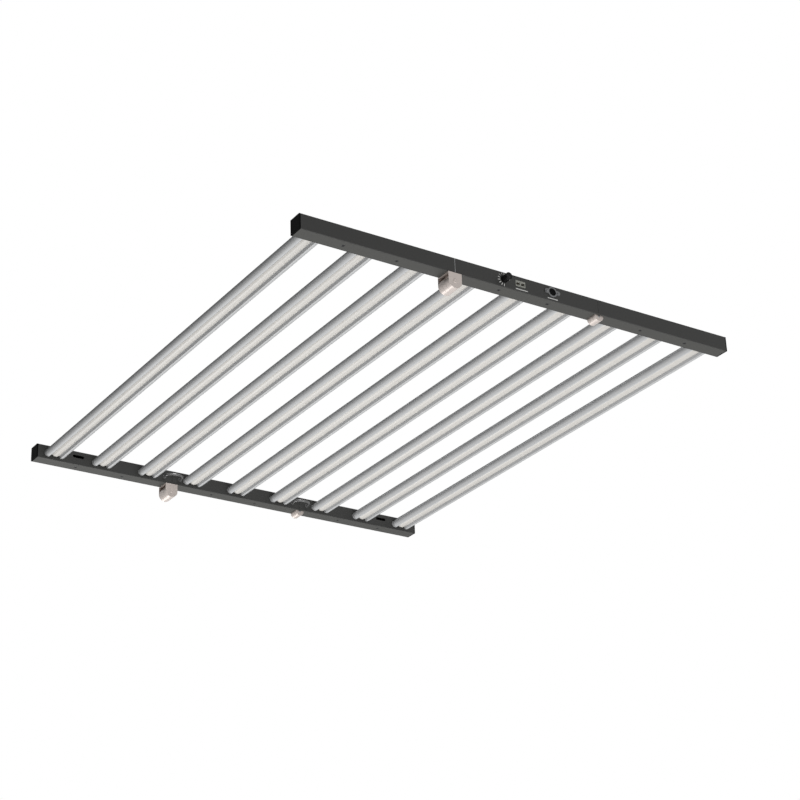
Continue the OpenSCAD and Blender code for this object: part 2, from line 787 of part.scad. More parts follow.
// Cables: routes as hand-chosen points
module feed_cable() {
    start = -rail_outer + sleeve_len;
    wire_z = rail_bottom + duct_up;
    inlet_z = rail_bottom + inlet_up;
    color("#202020") cable([
        [inlet_x, start, inlet_z],
        [inlet_x, start + 2, inlet_z],
        [inlet_x - 1, start + 5, inlet_z],
        [inlet_x - 4, start + 7, inlet_z],
        [inlet_x - 9, start + 8, inlet_z],
        [inlet_x / 2, start + 8, (inlet_z + wire_z) / 2],
        [9, start + 8, wire_z],
        [4, start + 9, wire_z],
        [1, start + 12, wire_z],
        [0, start + 16, wire_z],
        [0, -rail_inner, wire_z],
        [0, 0, wire_z],
        [0, rail_inner, wire_z],
        [0, driver_y - driver_w, wire_z]
    ], cable_r);
}

// Cable inside a far outer rail, from the seam's grommet to the outermost bar
module harness(s) {
    seam = s < 0 ? left_seam : right_seam;
    from = s * seam + grommet_at;
    to = 4 * bar_pitch;
    wire_z = rail_bottom + duct_up;
    grommet_z = rail_bottom + grommet_up;
    low_z = cover_top + block_h + cable_r + cable_gap;
    inside = rail_inner + rail_wall + grommet_flange;
    color("#202020") mirror([s < 0 ? 1 : 0, 0, 0]) cable([
        [from, inside, grommet_z],
        [from, inside + 1, grommet_z],
        [from + 1, inside + 3, grommet_z],
        [from + 4, cable_inside - 1, grommet_z],
        [from + 9, cable_inside, grommet_z],
        [from + 25, cable_inside, low_z],
        [(from + to) / 2, cable_inside, low_z],
        [to - 60, cable_inside, low_z],
        [to - 25, cable_inside, wire_z],
        [to - 8, cable_inside, wire_z],
        [to - 3, cable_inside - 2, wire_z],
        [to, cable_inside - 5, wire_z],
        [to, rail_inner, wire_z],
        [to, rail_inner - 12, wire_z]
    ], cable_r);
}

// Half of the loop over a seam: distance from the seam, distance from the rail's face, rise
LOOP = [
    [1, 0, 0], [1, 4, 0], [1, 9, 0.2], [0.97, 14, 0.2], [0.88, 19, 0], [0.7, 23.5, -0.3],
    [0.45, 26.5, -0.6], [0.2, 28, -0.8]
];
LOOP_END = [0, -28.4, -0.9];
function loop_point(p, side) = [side * p[0] * grommet_at, -p[1], p[2]];

module jumper(seam) {
    driver_side = -sign(seam);
    z = rail_bottom + grommet_up;
    inside = rail_inner + rail_wall + grommet_flange;
    face = [seam, rail_inner, z];
    tail_x = seam + driver_side * grommet_at;
    color("#141414") cable(concat(
        [[-driver_side * grommet_at + seam, inside, z]],
        [for (p = LOOP) face + loop_point(p, -driver_side)],
        [face + LOOP_END],
        [for (i = [len(LOOP) - 1:-1:0]) face + loop_point(LOOP[i], driver_side)],
        [[tail_x, inside, z]]
    ), cable_r);
}

module jumper_left() {
    jumper(left_seam);
}

module jumper_right() {
    jumper(right_seam);
}

module grommets(panel) {
    z = rail_bottom + grommet_up;
    back = rail_inner + rail_wall + grommet_flange;
    color("#0f0f0f") for (x = grommet_spots(panel)) difference() {
        union() {
            rod_y(x, z, rail_inner - grommet_flange, rail_inner, grommet_r);
            rod_y(x, z, rail_inner - EPS, back - grommet_flange + EPS, grommet_neck);
            rod_y(x, z, back - grommet_flange, back, grommet_r);
        }
        rod_y(x, z, rail_inner - grommet_flange - 1, back + 1, cable_r + cable_gap);
    }
}

for (i = [1:9]) housing(i);
led_boards(LEFT);  // led_boards_left
led_boards(CENTRE);  // led_boards_centre
led_boards(RIGHT);  // led_boards_right
lenses(LEFT);  // lenses_left
lenses(CENTRE);  // lenses_centre
lenses(RIGHT);  // lenses_right
rail_near(LEFT);  // rail_near_left
rail_near(CENTRE);  // rail_near_centre
rail_near(RIGHT);  // rail_near_right
rail_far(LEFT);  // rail_far_left
rail_far(CENTRE);  // rail_far_centre
rail_far(RIGHT);  // rail_far_right
covers(LEFT);  // covers_left
covers(CENTRE);  // covers_centre
covers(RIGHT);  // covers_right
end_caps(LEFT);  // end_caps_left
end_caps(RIGHT);  // end_caps_right
cover_screws(LEFT);  // cover_screws_left
cover_screws(CENTRE);  // cover_screws_centre
cover_screws(RIGHT);  // cover_screws_right
cover_blocks(LEFT);  // cover_blocks_left
cover_blocks(CENTRE);  // cover_blocks_centre
cover_blocks(RIGHT);  // cover_blocks_right
inner_screws(LEFT);  // inner_screws_left
inner_screws(CENTRE);  // inner_screws_centre
inner_screws(RIGHT);  // inner_screws_right
big_hinge_left_leaves();
big_hinge_centre_leaves();
big_hinge_pins();
small_hinge_right_leaves();
small_hinge_centre_leaves();
small_hinge_pins();
driver();
control_board();
potentiometer();
pot_nut();
pot_shaft();
dimmer_knob();
port_block();
inlet_flange();
inlet_insert();
inlet_screws();
feed_cable();
harness(-1);  // harness_left
harness(1);  // harness_right
jumper_left();
jumper_right();
grommets(LEFT);  // grommets_left
grommets(CENTRE);  // grommets_centre
grommets(RIGHT);  // grommets_right
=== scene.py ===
"""Folding bar-type grow light: finishes, fine pieces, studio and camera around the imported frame."""

import logging
import math
from dataclasses import dataclass
from enum import Enum
from typing import Any, Callable, Iterable, Sequence

import bmesh
import bpy
from mathutils import Matrix, Vector


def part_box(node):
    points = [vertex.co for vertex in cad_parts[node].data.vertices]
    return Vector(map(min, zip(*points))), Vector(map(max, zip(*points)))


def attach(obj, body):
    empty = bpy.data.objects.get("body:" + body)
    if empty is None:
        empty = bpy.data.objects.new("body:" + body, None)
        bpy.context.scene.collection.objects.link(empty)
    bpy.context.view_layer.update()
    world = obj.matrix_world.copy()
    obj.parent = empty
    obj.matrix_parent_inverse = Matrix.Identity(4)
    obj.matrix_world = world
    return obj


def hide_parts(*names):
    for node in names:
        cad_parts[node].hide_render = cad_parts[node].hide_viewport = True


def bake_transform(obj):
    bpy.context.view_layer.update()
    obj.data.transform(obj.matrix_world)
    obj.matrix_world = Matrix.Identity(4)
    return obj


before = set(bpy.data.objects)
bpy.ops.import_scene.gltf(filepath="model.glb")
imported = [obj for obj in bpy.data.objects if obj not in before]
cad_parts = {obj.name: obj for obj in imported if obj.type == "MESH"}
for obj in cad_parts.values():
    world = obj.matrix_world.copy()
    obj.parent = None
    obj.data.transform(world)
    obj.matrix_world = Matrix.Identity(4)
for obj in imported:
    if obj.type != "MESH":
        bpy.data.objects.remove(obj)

LOG = logging.getLogger("grow_light")
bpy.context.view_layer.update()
MM = 0.001

# Places that several sub-assemblies share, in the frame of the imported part
BAR_PITCH = 125.8 * MM
RAIL_INNER = 615.0 * MM
RAIL_OUTER = 650.0 * MM
RAIL_BOTTOM = -35.0 * MM
LEFT_SEAM = -184.0 * MM
RIGHT_SEAM = 187.0 * MM

# Least part of a face's normal along an axis for the face to look that way
FACING = 0.9

# Noise of a plain finish: octaves of the fine part, its share, and the size of the broad part
FINE_DETAIL = 3.0
FINE_SHARE = 0.6
BROAD_SIZE = 90 * MM

Point = tuple[float, float, float]
Colour = tuple[float, float, float]
FaceTest = Callable[[Vector, Vector], bool]
WHITE = (1.0, 1.0, 1.0, 1.0)


class Panel(Enum):
    """The three folding panels: body name, node suffix and number of its middle bar from the centre."""

    LEFT = ("left_panel", "left", -3)
    CENTRE = ("centre_panel", "centre", 0)
    RIGHT = ("right_panel", "right", 3)

    @property
    def body(self) -> str:
        """The CAD body that the panel's pieces ride on."""
        return self.value[0]

    @property
    def suffix(self) -> str:
        """The ending of the panel's node names."""
        return self.value[1]

    @property
    def middle(self) -> int:
        """The middle bar's number, counted from the centre bar."""
        return self.value[2]


class Grain(Enum):
    """The direction in which a finish's fine texture is drawn out, as noise scales on X, Y and Z."""

    EVEN = (1.0, 1.0, 1.0)
    ALONG_BAR = (1.0, 0.012, 1.0)
    ALONG_RAIL = (0.012, 1.0, 1.0)
    TURNED = (1.0, 0.25, 1.0)


def linear(code: str) -> Colour:
    """Turns a hex colour into linear light.

    Args:
        code: Six hex digits.

    Returns:
        Red, green and blue from 0 to 1.
    """
    parts = [int(code[i : i + 2], 16) / 255 for i in (0, 2, 4)]
    return tuple(c / 12.92 if c <= 0.04045 else ((c + 0.055) / 1.055) ** 2.4 for c in parts)


class Sock:
    """A shader socket that takes part in Python arithmetic."""

    def __init__(self, graph: "Graph", socket: bpy.types.NodeSocket) -> None:
        """Wraps one output of a node in a graph."""
        self.graph = graph
        self.socket = socket

    def math(self, operation: str, first: Any, second: Any) -> "Sock":
        """Adds one Math node on two values."""
        return self.graph.node("ShaderNodeMath", {"operation": operation}, {0: first, 1: second})

    def __add__(self, other: Any) -> "Sock":
        """Sum of two values."""
        return self.math("ADD", self, other)

    def __radd__(self, other: Any) -> "Sock":
        """Sum, from the right."""
        return self.math("ADD", other, self)

    def __sub__(self, other: Any) -> "Sock":
        """Difference of two values."""
        return self.math("SUBTRACT", self, other)

    def __rsub__(self, other: Any) -> "Sock":
        """Difference, from the right."""
        return self.math("SUBTRACT", other, self)

    def __mul__(self, other: Any) -> "Sock":
        """Product of two values."""
        return self.math("MULTIPLY", self, other)

    def __rmul__(self, other: Any) -> "Sock":
        """Product, from the right."""
        return self.math("MULTIPLY", other, self)

    def below(self, limit: Any) -> "Sock":
        """One where the value is under the limit, and zero elsewhere."""
        return self.math("LESS_THAN", self, limit)

    def least(self, other: Any) -> "Sock":
        """The smaller of two values."""
        return self.math("MINIMUM", self, other)

    def wrapped(self, period: float) -> "Sock":
        """The value's distance from the nearest multiple of a period."""
        return self.math("PINGPONG", self, period / 2)


class Graph:
    """The node tree of one material or of the world."""

    edge_samples = 4

    def __init__(self, tree: bpy.types.NodeTree) -> None:
        """Empties a tree and starts afresh in it."""
        self.tree = tree
        self.tree.nodes.clear()

    def node(
        self,
        kind: str,
        settings: dict[str, Any] | None = None,
        inputs: dict[Any, Any] | None = None,
        output: int | str = 0,
    ) -> Sock:
        """Adds any node.

        Args:
            kind: The node's type.
            settings: Its own settings, which are set first.
            inputs: Values or sockets by input name or number.
            output: The output that is handed on.

        Returns:
            The output, ready for arithmetic.
        """
        made = self.tree.nodes.new(kind)
        for key, value in (settings or {}).items():
            setattr(made, key, value)
        for key, value in (inputs or {}).items():
            if isinstance(value, Sock):
                self.tree.links.new(value.socket, made.inputs[key])
            else:
                made.inputs[key].default_value = value
        return Sock(self, made.outputs[output])

    def place(self) -> Sock:
        """Object coordinates."""
        return self.node("ShaderNodeTexCoord", output="Object")

    def across(self) -> Sock:
        """The distance across the bars from the middle one."""
        return self.node("ShaderNodeSeparateXYZ", {}, {0: self.place()})

    def seen(self) -> Sock:
        """One for rays that show the surroundings, and zero for rays that light the object."""
        total: Any = 0.0
        for ray in ("Is Camera Ray", "Is Glossy Ray", "Is Transmission Ray"):
            total = self.node("ShaderNodeLightPath", output=ray) + total
        return total.least(1.0)

    def noise(self, size: float, stretch: Point = Grain.EVEN.value, detail: float = 2.0) -> Sock:
        """Noise with features of about a given size.

        Args:
            size: Feature size in metres.
            stretch: Scales on X, Y and Z.
            detail: Octaves of finer noise.

        Returns:
            A value around 0.5.
        """
        where = self.node("ShaderNodeMapping", {}, {"Vector": self.place(), "Scale": stretch})
        return self.node("ShaderNodeTexNoise", {}, {"Vector": where, "Scale": 1 / size, "Detail": detail})

    def mix(self, factor: Any, first: Colour | Sock, second: Colour | Sock) -> Sock:
        """Mixes two colours.

        Args:
            factor: The share of the second colour.
            first: A colour, or a socket that gives one.
            second: The other.

        Returns:
            The mixed colour.
        """
        inputs = {0: factor}
        for socket, end in ((6, first), (7, second)):
            inputs[socket] = end if isinstance(end, Sock) else (*end, 1.0)
        return self.node("ShaderNodeMix", {"data_type": "RGBA"}, inputs, output=2)

    def relief(self, height: Sock, depth: float, edge: float = 0.0) -> Sock:
        """A bump, on edges that may be rounded.

        Args:
            height: The relief from 0 to 1.
            depth: Its depth in metres.
            edge: Radius that sharp edges seem to have, or 0.

        Returns:
            A normal.
        """
        inputs: dict[str, Any] = {"Strength": 1.0, "Distance": depth, "Height": height}
        if edge:
            inputs["Normal"] = self.node("ShaderNodeBevel", {"samples": self.edge_samples}, {"Radius": edge})
        return self.node("ShaderNodeBump", {}, inputs)

    def surface(self, **sockets: Any) -> None:
        """Ends the tree in a Principled surface.

        Args:
            **sockets: Values by the shader's input names, with _ for a space.
        """
        named = {key.replace("_", " "): value for key, value in sockets.items()}
        self.output(self.node("ShaderNodeBsdfPrincipled", {}, named))

    def output(self, shader: Sock) -> None:
        """Ends a material's tree in a shader."""
        self.node_end("ShaderNodeOutputMaterial", shader)

    def node_end(self, kind: str, shader: Sock) -> None:
        """Adds the output node and links a shader to it."""
        end = self.tree.nodes.new(kind)
        self.tree.links.new(shader.socket, end.inputs["Surface"])


@dataclass(frozen=True)
class Finish:
    """One material of the light.

    Attributes:
        name: The material's name, without its ending.
        slot: The record's slot that it stands for; not used.
        code: Colour as hex digits.
        roughness: Mean roughness.
        metallic: Share of metal.
        specular: Strength of the gloss on what isn't metal.
        grain: Direction of the fine texture.
        size: Feature size of the fine texture, in metres.
        tone: Share by which the colour strays.
        drift: Amount by which the roughness strays.
        depth: Depth of the fine texture, in metres.
        edge: Radius that sharp edges seem to have, in metres.
    """

    name: str
    slot: str
    code: str
    roughness: float = 0.5
    metallic: float = 0.0
    specular: float = 0.5
    grain: Grain = Grain.EVEN
    size: float = 1.2 * MM
    tone: float = 0.06
    drift: float = 0.08
    depth: float = 0.01 * MM
    edge: float = 0.0

    def material(self) -> bpy.types.Material:
        """Makes the material on first use.

        Returns:
            The material.
        """
        title = f"{self.name}_finish"
        known = bpy.data.materials.get(title)
        if known is None:
            known = bpy.data.materials.new(title)
            known.use_nodes = True
            self.fill(Graph(known.node_tree))
        return known

    def shades(self, graph: Graph, factor: Sock, code: str | None = None) -> Sock:
        """The colour, straying to both sides.

        Args:
            graph: The tree.
            factor: Where it strays, around 0.5.
            code: Another colour than the finish's own.

        Returns:
            A colour.
        """
        base = linear(code or self.code)
        darker = tuple(c * (1 - self.tone) for c in base)
        lighter = tuple(c * (1 + self.tone) for c in base)
        return graph.mix(factor, darker, lighter)

    def colour(self, graph: Graph, factor: Sock) -> Sock:
        """The colour of the whole surface, straying with a factor around 0.5."""
        return self.shades(graph, factor)

    def fill(self, graph: Graph) -> None:
        """Writes the material's nodes.

        Args:
            graph: The material's tree.
        """
        fine = graph.noise(self.size, self.grain.value, FINE_DETAIL)
        both = FINE_SHARE * fine + (1 - FINE_SHARE) * graph.noise(BROAD_SIZE)
        graph.surface(
            Base_Color=self.colour(graph, both),
            Roughness=self.roughness + (both - 0.5) * (2 * self.drift),
            Metallic=self.metallic,
            Specular_IOR_Level=self.specular,
            Normal=graph.relief(fine, self.depth, self.edge),
        )


@dataclass(frozen=True)
class BarFinish(Finish):
    """Drawn bar alloy with painted shade: a darker colour in the recess and out on the flanks, lighter on
    the lips.

    Attributes:
        bright: Half width of the recess, past which the alloy's colour is lightest, in metres.
        shade_full: Half width from which the painted shade is full, in metres.
        flank_shade: Colour of the painted shade in the recess and on the flanks.
    """

    bright: float = 14.6 * MM
    shade_full: float = 22.0 * MM
    flank_shade: str = "b1b2b3"

    def colour(self, graph: Graph, factor: Sock) -> Sock:
        """The alloy's colour, lighter on the lips, with painted shade in the recess and on the flanks.

        Args:
            graph: The material's tree.
            factor: Where it strays, around 0.5.

        Returns:
            A colour.
        """
        # Painted shade: the darker colour fills the recess and rises smoothly out onto the flanks, and the
        # lips keep the lighter colour.
        away = graph.across().wrapped(BAR_PITCH)
        limits = {"Value": away, "From Min": self.bright, "From Max": self.shade_full}
        flank_shade = graph.node("ShaderNodeMapRange", {"interpolation_type": "SMOOTHSTEP"}, limits)
        painted_shade = flank_shade + away.below(self.bright)
        return graph.mix(painted_shade, self.shades(graph, factor), self.shades(graph, factor, self.flank_shade))


@dataclass(frozen=True)
class LensFinish(Finish):
    """Milky lens strip that lets the chips behind it show faintly, with grey painted shade along its edges
    beside the dome.

    Attributes:
        clear: Share of light that passes straight through.
        uneven: Share by which that share strays.
        cloud: Size of the lighter and darker patches, in metres.
        dome: Half width of the dome, in metres.
        foot_shade: Colour of the painted shade along the lens's edges, in the groove.
    """

    clear: float = 0.05
    uneven: float = 0.15
    cloud: float = 60 * MM
    dome: float = 9.7 * MM
    foot_shade: str = "8c8d8e"

    def fill(self, graph: Graph) -> None:
        """Writes a satin, partly see-through surface with fine drawn lines, and grey painted shade along the
        edges.

        Args:
            graph: The material's tree.
        """
        fine = graph.noise(self.size, self.grain.value)
        broad = graph.noise(self.cloud)
        # Painted shade: outside the dome, the lens's edges take the grey shade colour of the groove.
        dome = graph.across().wrapped(BAR_PITCH).below(self.dome)
        graph.surface(
            Base_Color=graph.mix(dome, self.shades(graph, broad, self.foot_shade), self.shades(graph, broad)),
            Roughness=self.roughness + (fine - 0.5) * self.drift,
            Specular_IOR_Level=self.specular,
            Alpha=1 - self.clear * (1 - self.uneven + 2 * self.uneven * broad),
            Normal=graph.relief(fine, self.depth),
        )


@dataclass(frozen=True)
class BoardFinish(Finish):
    """Coated light board with faint copper runs under the coat, and painted shade along its edges in the
    groove beside the lens.

    Attributes:
        pitch: Distance between the copper runs, in metres.
        run: Half width of a run, in metres.
        copper: Colour over a run.
        groove_shade_from: Half width within which the board is unshaded, in metres; past it lies painted
            shade.
        groove_shade: Colour of the painted shade past that width.
        speckle: Height of the coat's fine texture, as a share of a run's.
    """

    pitch: float = 6.0 * MM
    run: float = 0.9 * MM
    copper: str = "d9d7cc"
    groove_shade_from: float = 9.8 * MM
    groove_shade: str = "8c8d8e"
    speckle: float = 0.2

    def fill(self, graph: Graph) -> None:
        """Writes the coat, with runs along the bars and painted shade along the edges in the groove.

        Args:
            graph: The material's tree.
        """
        run = graph.across().wrapped(self.pitch).below(self.run)
        # Painted shade: past this width the board takes the grey shade colour, in the groove beside the
        # lens.
        inside = graph.across().wrapped(BAR_PITCH).below(self.groove_shade_from)
        fine = graph.noise(self.size, self.grain.value)
        coat = graph.mix(run, self.shades(graph, fine), self.shades(graph, fine, self.copper))
        graph.surface(
            Base_Color=graph.mix(inside, self.shades(graph, fine, self.groove_shade), coat),
            Roughness=self.roughness + (fine - 0.5) * self.drift,
            Specular_IOR_Level=self.specular,
            Normal=graph.relief(run + self.speckle * fine, self.depth),
        )


ALLOY = BarFinish(
    "bar_alloy", "bar_alloy", "c9cacb", roughness=0.5, metallic=0.04, specular=0.12, grain=Grain.ALONG_BAR,
    size=2.0 * MM, tone=0.03, drift=0.05, depth=0.004 * MM, edge=0.3 * MM,
)
LENS = LensFinish(
    "milky_lens", "lens", "d3d0cb", roughness=0.44, grain=Grain.ALONG_BAR,
    size=2.0 * MM, tone=0.02, depth=0.004 * MM,
)
BOARD = BoardFinish(
    "light_board", "light_board", "e8e5da", roughness=0.55, size=0.6 * MM, tone=0.03, depth=0.03 * MM,
)
CHIP_CASE = Finish("chip_case", "light_board", "f0ece0", roughness=0.45, size=0.3 * MM, tone=0.03)
PHOSPHOR = Finish(
    "phosphor", "light_board", "d9b048", roughness=0.55, size=0.25 * MM, tone=0.10, depth=0.02 * MM,
)
RED_CHIP = Finish("red_chip", "light_board", "b5483c", roughness=0.4, size=0.25 * MM, tone=0.10)
RAIL_PAINT = Finish(
    "rail_paint", "rail_paint", "3c3c3b", roughness=0.55, specular=0.26,
    size=0.9 * MM, tone=0.07, depth=0.02 * MM, edge=0.4 * MM,
)
COVER_PAINT = Finish(
    "cover_paint", "cover_paint", "474745", roughness=0.55, specular=0.18,
    size=0.9 * MM, tone=0.07, depth=0.02 * MM, edge=0.2 * MM,
)
CAP_PLASTIC = Finish(
    "cap_plastic", "cap_plastic", "080808", roughness=0.7, specular=0.03,
    size=0.6 * MM, tone=0.12, depth=0.03 * MM, edge=0.5 * MM,
)
DARK_STEEL = Finish(
    "dark_steel", "dark_steel", "222225", roughness=0.45, metallic=0.2, specular=0.3,
    size=0.5 * MM, edge=0.15 * MM,
)
PLAIN_ALLOY = Finish(
    "plain_alloy", "plain_alloy", "b4b6b8", roughness=0.4, metallic=0.7, grain=Grain.ALONG_RAIL,
    size=0.5 * MM,
)
BRIGHT_STEEL = Finish(
    "bright_steel", "bright_steel", "a9abad", roughness=0.28, metallic=1.0, size=0.4 * MM, edge=0.2 * MM,
)
NICKEL = Finish(
    "hinge_nickel", "hinge_nickel", "cdc3bd", roughness=0.4, metallic=0.35, grain=Grain.TURNED,
    size=0.5 * MM, tone=0.05, edge=0.5 * MM,
)
CIRCUIT = Finish("circuit_board", "circuit_board", "1f5a38", roughness=0.45, size=1.5 * MM, tone=0.15)
KNOB_PLASTIC = Finish(
    "knob_plastic", "knob_plastic", "0c0c0d", roughness=0.45, specular=0.15,
    size=0.4 * MM, tone=0.10, edge=0.2 * MM,
)
PORT_PLASTIC = Finish(
    "port_plastic", "port_plastic", "a1a29a", roughness=0.5, specular=0.3, size=0.5 * MM, edge=0.2 * MM,
)
JACK_GREY = Finish(
    "jack_grey", "port_plastic", "c4c4be", roughness=0.55, specular=0.3, size=0.4 * MM, tone=0.10,
)
INLET_METAL = Finish(
    "inlet_metal", "inlet_metal", "717273", roughness=0.42, metallic=0.5, size=0.4 * MM, edge=0.25 * MM,
)
INSERT_PLASTIC = Finish(
    "insert_plastic", "insert_plastic", "070707", roughness=0.6, specular=0.05, size=0.4 * MM, tone=0.10,
)
# Black rubber drawn mid grey: the grey is a painted sheen, standing in for the gloss highlights on cables
# and grommets.
RUBBER_PAINTED_SHEEN = Finish(
    "black_rubber", "black_rubber", "5e5e5e", roughness=0.3, specular=0.7,
    size=0.8 * MM, tone=0.12, drift=0.03, depth=0.005 * MM,
)
PRINT = Finish("white_print", "rail_paint", "f6f6f3", roughness=0.6, specular=0.3, size=0.3 * MM, tone=0.05)
BRONZE = Finish("bronze_contact", "bright_steel", "5e5238", roughness=0.45, metallic=0.3, size=0.3 * MM)
POINTER = Finish(
    "pointer_inlay", "knob_plastic", "5e5e5c", roughness=0.6, specular=0.2, size=0.3 * MM, tone=0.05,
)
BARE_EDGE = Finish("bare_edge", "plain_alloy", "b9babb", roughness=0.4, metallic=0.5, size=0.3 * MM)


def facing(axis: str, sign: int) -> FaceTest:
    """Makes a test for faces that look along an axis.

    Args:
        axis: x, y or z.
        sign: 1 for its plus side, -1 for its minus side.

    Returns:
        The test.
    """
    return lambda middle, normal: sign * getattr(normal, axis) > FACING


class Bench:
    """Modelling by operators, as by hand."""

    @staticmethod
    def alone(piece: bpy.types.Object) -> None:
        """Selects one object and makes it the active one.

        Args:
            piece: The object.
        """
        bpy.ops.object.select_all(action="DESELECT")
        piece.select_set(True)
        bpy.context.view_layer.objects.active = piece

    @staticmethod
    def added(name: str) -> bpy.types.Object:
        """Names the primitive just added and puts its place in its mesh.

        Args:
            name: The piece's name.

        Returns:
            The object.
        """
        piece = bpy.context.view_layer.objects.active
        piece.name = piece.data.name = name
        bpy.ops.object.transform_apply(location=True, rotation=True, scale=True)
        return piece

    @classmethod
    def block(cls, name: str, size: Point, centre: Point) -> bpy.types.Object:
        """Adds a block to shape further.

        Args:
            name: The piece's name.
            size: Its sides.
            centre: Its middle.

        Returns:
            The object.
        """
        bpy.ops.object.select_all(action="DESELECT")
        bpy.ops.mesh.primitive_cube_add(size=1, location=centre)
        bpy.ops.transform.resize(value=size)
        return cls.added(name)

    @classmethod
    def rod(
        cls, name: str, radius: float, depth: float, centre: Point, axis: str = "Y", sides: int = 32
    ) -> bpy.types.Object:
        """Adds a rod to shape further.

        Args:
            name: The piece's name.
            radius: Its radius.
            depth: Its length.
            centre: Its middle.
            axis: Y or Z.
            sides: Faces around it.

        Returns:
            The object.
        """
        bpy.ops.object.select_all(action="DESELECT")
        turn = (math.pi / 2, 0, 0) if axis == "Y" else (0, 0, 0)
        bpy.ops.mesh.primitive_cylinder_add(
            vertices=sides, radius=radius, depth=depth, location=centre, rotation=turn
        )
        return cls.added(name)

    @classmethod
    def open(cls, piece: bpy.types.Object) -> None:
        """Goes into edit mode on one piece, with no face picked.

        Args:
            piece: The object.
        """
        cls.alone(piece)
        bpy.ops.object.mode_set(mode="EDIT")
        bpy.ops.mesh.select_mode(type="FACE")
        bpy.ops.mesh.select_all(action="DESELECT")

    @staticmethod
    def close() -> None:
        """Goes back to object mode."""
        bpy.ops.object.mode_set(mode="OBJECT")

    @staticmethod
    def pick(piece: bpy.types.Object, test: FaceTest) -> None:
        """Selects faces by their middle and normal.

        Args:
            piece: The object, in edit mode.
            test: Says yes to a face's middle and normal.
        """
        mesh = bmesh.from_edit_mesh(piece.data)
        for face in mesh.faces:
            face.select_set(False)
        for face in mesh.faces:
            if test(face.calc_center_median(), face.normal):
                face.select_set(True)
        bmesh.update_edit_mesh(piece.data)

    @staticmethod
    def push(step: Point) -> None:
        """Extrudes the picked faces by a step."""
        bpy.ops.mesh.extrude_region_move(TRANSFORM_OT_translate={"value": step})

    @classmethod
    def step(cls, piece: bpy.types.Object, axis: str, sign: int, rim: float, move: Point) -> None:
        """Insets the end of a piece and pushes what is left in or out.

        Args:
            piece: The object.
            axis: x, y or z.
            sign: 1 for the end on the axis's plus side, -1 for the other.
            rim: Width that stays in place.
            move: The push.
        """
        cls.open(piece)
        cls.pick(piece, facing(axis, sign))
        bpy.ops.mesh.inset(thickness=rim)
        cls.push(move)
        cls.close()

    @classmethod
    def modify(cls, piece: bpy.types.Object, kind: str, **settings: Any) -> None:
        """Adds a modifier and applies it.

        Args:
            piece: The object.
            kind: The modifier's type.
            **settings: Its settings.
        """
        cls.alone(piece)
        made = piece.modifiers.new(kind.lower(), kind)
        for key, value in settings.items():
            setattr(made, key, value)
        bpy.ops.object.modifier_apply(modifier=made.name)

    @classmethod
    def soften(cls, piece: bpy.types.Object, width: float, segments: int = 2, angle: float = 35.0) -> None:
        """Rounds a piece's sharp edges."""
        limit = math.radians(angle)
        cls.modify(piece, "BEVEL", width=width, segments=segments, limit_method="ANGLE", angle_limit=limit)

    @classmethod
    def row(cls, piece: bpy.types.Object, count: int, step: Point) -> None:
        """Repeats a piece in a straight row.

        Args:
            piece: The object.
            count: How many there are in the row.
            step: From one to the next.
        """
        cls.modify(
            piece,
            "ARRAY",
            count=count,
            use_relative_offset=False,
            use_constant_offset=True,
            constant_offset_displace=step,
        )

    @classmethod
    def cut(cls, piece: bpy.types.Object, tool: bpy.types.Object) -> None:
        """Cuts one piece out of another and removes the tool."""
        cls.modify(piece, "BOOLEAN", operation="DIFFERENCE", solver="EXACT", object=tool)
        bpy.data.objects.remove(tool)

    @classmethod
    def copies(cls, piece: bpy.types.Object, moves: Iterable[Matrix]) -> bpy.types.Object:
        """Sets copies of a model at several places and joins them into one piece.

        Args:
            piece: The model, which becomes the joined piece.
            moves: One placing for each copy.

        Returns:
            The joined piece.
        """
        made = []
        for move in moves:
            copy = piece.copy()
            copy.data = piece.data.copy()
            copy.data.transform(move)
            bpy.context.scene.collection.objects.link(copy)
            made.append(copy)
        name = piece.name
        bpy.data.objects.remove(piece)
        bpy.ops.object.select_all(action="DESELECT")
        for copy in made:
            copy.select_set(True)
        bpy.context.view_layer.objects.active = made[0]
        bpy.ops.object.join()
        made[0].name = made[0].data.name = name
        return made[0]

    @classmethod
    def smooth(cls, piece: bpy.types.Object, angle: float = 35.0) -> None:
        """Shades the gentle edges smooth."""
        cls.alone(piece)
        bpy.ops.object.shade_smooth_by_angle(angle=math.radians(angle))


def paint(piece: bpy.types.Object, *finishes: Finish) -> None:
    """Gives a new piece its materials.

    Args:
        piece: The object.
        *finishes: Its materials in slot order.
    """
    for finish in finishes:
        piece.data.materials.append(finish.material())


def dress(finish: Finish, *nodes: str) -> None:
    """Gives CAD nodes a finish.

    Args:
        finish: The material.
        *nodes: Node names.
    """
    for name in nodes:
        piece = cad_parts[name]
        if not piece.material_slots:
            piece.data.materials.append(finish.material())
        for holder in piece.material_slots:
            holder.material = finish.material()


def placed(piece: bpy.types.Object, body: str, *nodes: str) -> None:
    """Lets a finished piece ride, hides the nodes it stands for and reports it.

    Args:
        piece: The object.
        body: The CAD body.
        *nodes: CAD nodes that it replaces.
    """
    if nodes:
        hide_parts(*nodes)
    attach(piece, body)
    LOG.info("%s: %d faces on %s", piece.name, len(piece.data.polygons), body)


